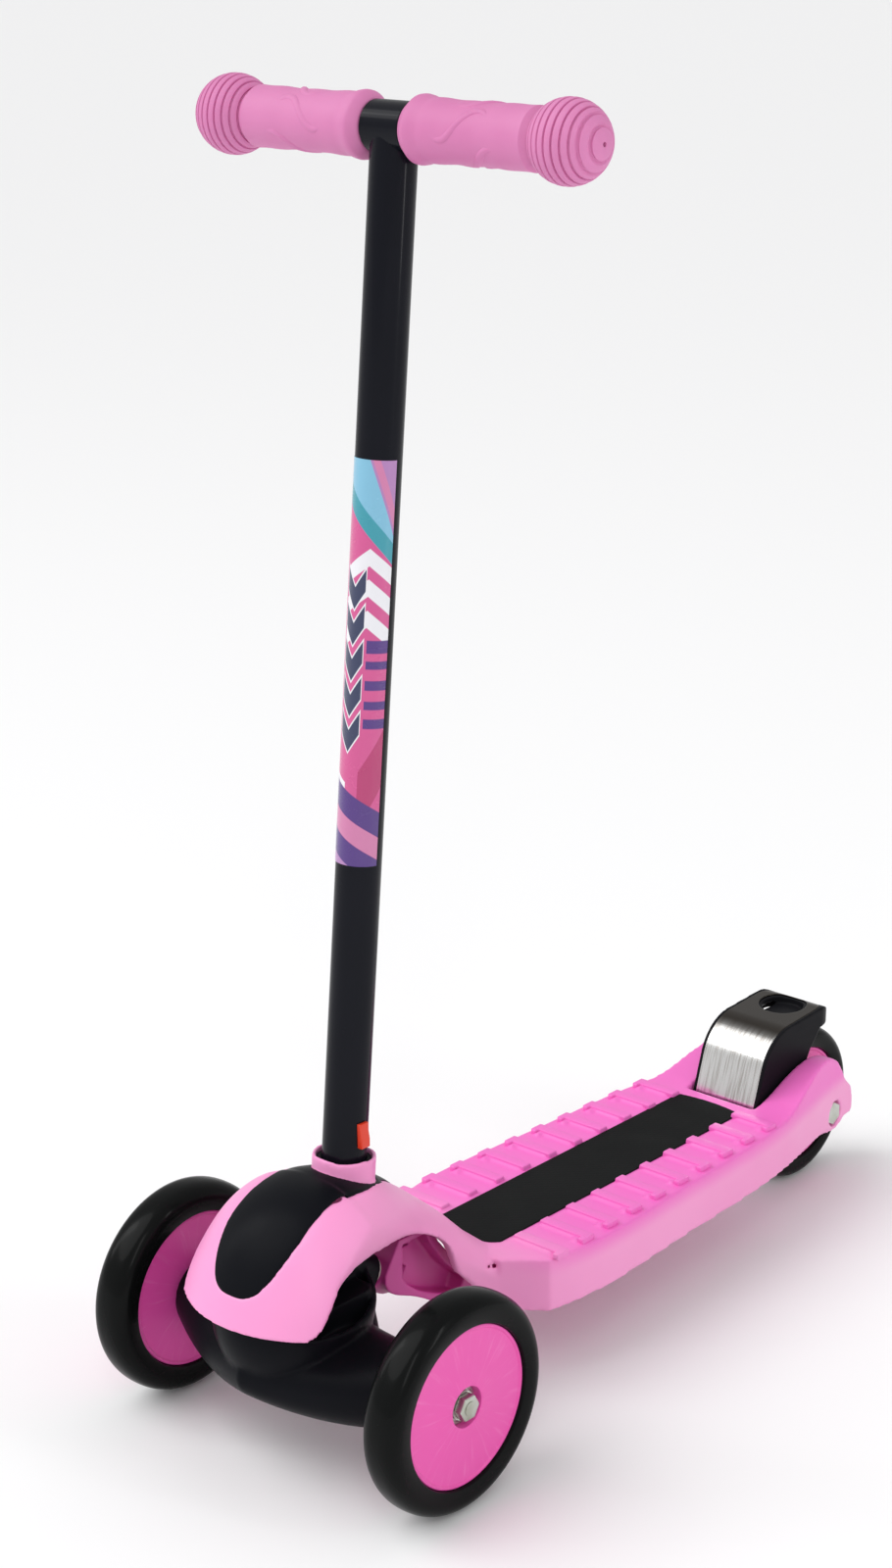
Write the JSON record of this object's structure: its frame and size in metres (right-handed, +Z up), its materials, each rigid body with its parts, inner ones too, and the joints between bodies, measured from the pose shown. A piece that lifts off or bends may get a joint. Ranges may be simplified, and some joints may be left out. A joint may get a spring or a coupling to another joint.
{
  "type": "kick scooter",
  "caption": "Toddler's three-wheeled kick scooter with a T-bar, a leaning front axle, a ribbed deck with a foot mat and a foot brake over the rear wheel.",
  "frame": {"origin": "on the floor, under the middle of the overall box", "axes": "+Z up, +X the rider's left, -Y the way it travels"},
  "size_m": [0.258, 0.562, 0.7085],
  "materials": {
    "shell_pink": "satin moulded",
    "cover_black": "satin",
    "keel_pink": "satin moulded",
    "mat_black": "fine grain",
    "bar_black": "gloss",
    "grip_pink": "matt moulded",
    "decal_print": "printed film",
    "sleeve_black": "matt",
    "button_orange": "satin",
    "truck_black": "satin",
    "steel_zinc": "zinc plated",
    "nylon_white": "natural",
    "elastomer": "matt",
    "tyre_black": "smooth cast",
    "hub_pink": "satin moulded",
    "brake_black": "satin",
    "brake_metal": "bright pressed",
    "spring_steel": "drawn wire"
  },
  "bodies": {
    "deck": {"deck_shell": "shell_pink", "nose_cover": "cover_black", "foot_mat": "mat_black", "neck_keel": "keel_pink", "keel_screws": "steel_zinc", "kingpin_bolt": "steel_zinc", "kingpin_nut": "steel_zinc", "kingpin_washers": "steel_zinc", "centering_blocks": "elastomer", "stem_tube": "bar_black", "cross_tube": "bar_black", "grip_left": "grip_pink", "grip_right": "grip_pink", "stem_decal": "decal_print", "stem_sleeve": "sleeve_black", "latch_spring": "spring_steel", "brake_pin": "steel_zinc", "brake_spring": "spring_steel", "rear_axle_bolt": "steel_zinc", "rear_axle_nut": "steel_zinc", "rear_axle_spacers": "steel_zinc"},
    "truck": {"truck_body": "truck_black", "thrust_washers": "nylon_white", "front_axle": "steel_zinc", "front_axle_nuts": "steel_zinc", "front_washers": "steel_zinc"},
    "wheel_front_left": {"front_left_tyre": "tyre_black", "front_left_hub": "hub_pink", "front_left_bearings": "steel_zinc", "front_left_spacer": "steel_zinc"},
    "wheel_front_right": {"front_right_tyre": "tyre_black", "front_right_hub": "hub_pink", "front_right_bearings": "steel_zinc", "front_right_spacer": "steel_zinc"},
    "wheel_rear": {"rear_tyre": "tyre_black", "rear_hub": "hub_pink", "rear_bearings": "steel_zinc", "rear_spacer": "steel_zinc"},
    "brake": {"brake_body": "brake_black", "brake_plate": "brake_metal"},
    "button": {"latch_button": "button_orange"}
  },
  "joints": [
    {"name": "lean_steer", "type": "hinge", "parent": "deck", "child": "truck", "pos_m": [0, -0.17, 0.084], "axis": [0, -0.848, 0.5299], "range_deg": [-11, 11], "stiffness_Nm_per_rad": 34, "deforming": ["centering_blocks"]},
    {"name": "front_left_spin", "type": "hinge", "parent": "truck", "child": "wheel_front_left", "pos_m": [0.0985, -0.213, 0.06], "axis": [1, 0, 0], "continuous": true},
    {"name": "front_right_spin", "type": "hinge", "parent": "truck", "child": "wheel_front_right", "pos_m": [-0.0985, -0.213, 0.06], "axis": [1, 0, 0], "continuous": true},
    {"name": "rear_spin", "type": "hinge", "parent": "deck", "child": "wheel_rear", "pos_m": [0, 0.231, 0.05], "axis": [1, 0, 0], "continuous": true},
    {"name": "brake_press", "type": "hinge", "parent": "deck", "child": "brake", "pos_m": [0, 0.169, 0.07], "axis": [-1, 0, 0], "range_deg": [0, 5.2], "stiffness_Nm_per_rad": 2, "springref_deg": -6.88, "deforming": ["brake_spring"]},
    {"name": "button_press", "type": "slide", "parent": "deck", "child": "button", "axis": [-1, 0, 0], "range_m": [0, 0.0026], "stiffness_N_per_m": 700, "springref_m": -0.002, "deforming": ["latch_spring"]}
  ]
}
